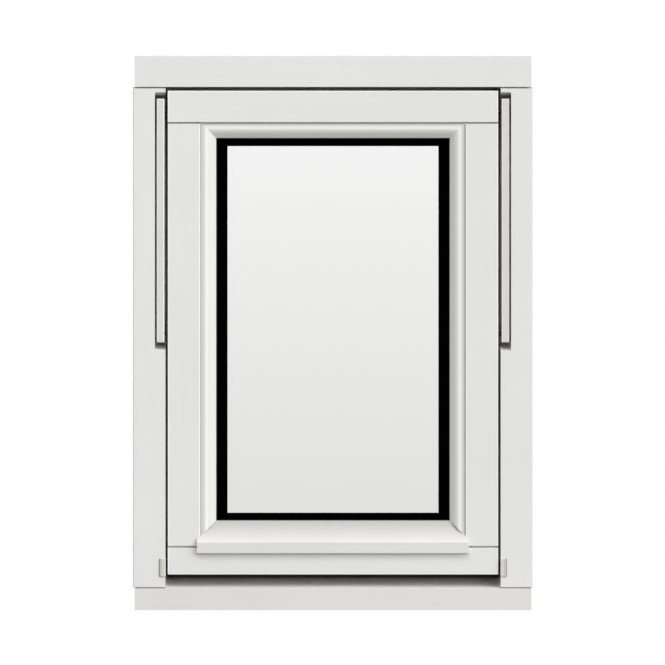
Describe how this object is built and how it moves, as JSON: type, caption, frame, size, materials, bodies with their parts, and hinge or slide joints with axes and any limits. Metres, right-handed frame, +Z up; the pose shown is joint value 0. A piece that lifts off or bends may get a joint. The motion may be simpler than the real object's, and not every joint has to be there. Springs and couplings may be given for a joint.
{
  "type": "top swing window",
  "caption": "White timber window: a glazed sash that swings on side arms set in the jambs, with mitred glazing beads, a sloping sill and a handle on the bottom rail.",
  "frame": {"origin": "middle of the sill's underside, at half the frame's depth", "axes": "+Z up, +Y from outdoors to indoors, +X to the right as seen from outdoors"},
  "size_m": [0.5, 0.112, 0.693],
  "materials": {
    "white_timber": "satin white paint",
    "clear_glass": "clear",
    "black_spacer": "matt black",
    "black_rubber": "matt black",
    "white_arm": "satin white powder coat",
    "pivot_steel": "dark zinc coat",
    "track_aluminium": "anodised",
    "shoe_nylon": "matt",
    "guide_plastic": "satin",
    "handle_steel": "satin"
  },
  "bodies": {
    "root": {"frame_head": "white_timber", "frame_sill": "white_timber", "frame_jamb_left": "white_timber", "frame_jamb_right": "white_timber", "sash_top_rail": "white_timber", "sash_bottom_rail": "white_timber", "sash_stile_left": "white_timber", "sash_stile_right": "white_timber", "glazing_bead_top": "white_timber", "glazing_bead_bottom": "white_timber", "glazing_bead_left": "white_timber", "glazing_bead_right": "white_timber", "outer_pane": "clear_glass", "inner_pane": "clear_glass", "edge_spacer": "black_spacer", "outer_glazing_seal": "black_rubber", "inner_glazing_seal": "black_rubber", "weather_gasket": "black_rubber", "swing_arm_left": "white_arm", "swing_arm_right": "white_arm", "frame_pivot_left": "pivot_steel", "frame_pivot_right": "pivot_steel", "sash_pivot_left": "pivot_steel", "sash_pivot_right": "pivot_steel", "slide_track_left": "track_aluminium", "slide_track_right": "track_aluminium", "slide_shoe_left": "shoe_nylon", "slide_shoe_right": "shoe_nylon", "guide_block_left": "guide_plastic", "guide_block_right": "guide_plastic", "handle_rose": "handle_steel", "handle_lever": "handle_steel"}
  },
  "joints": []
}
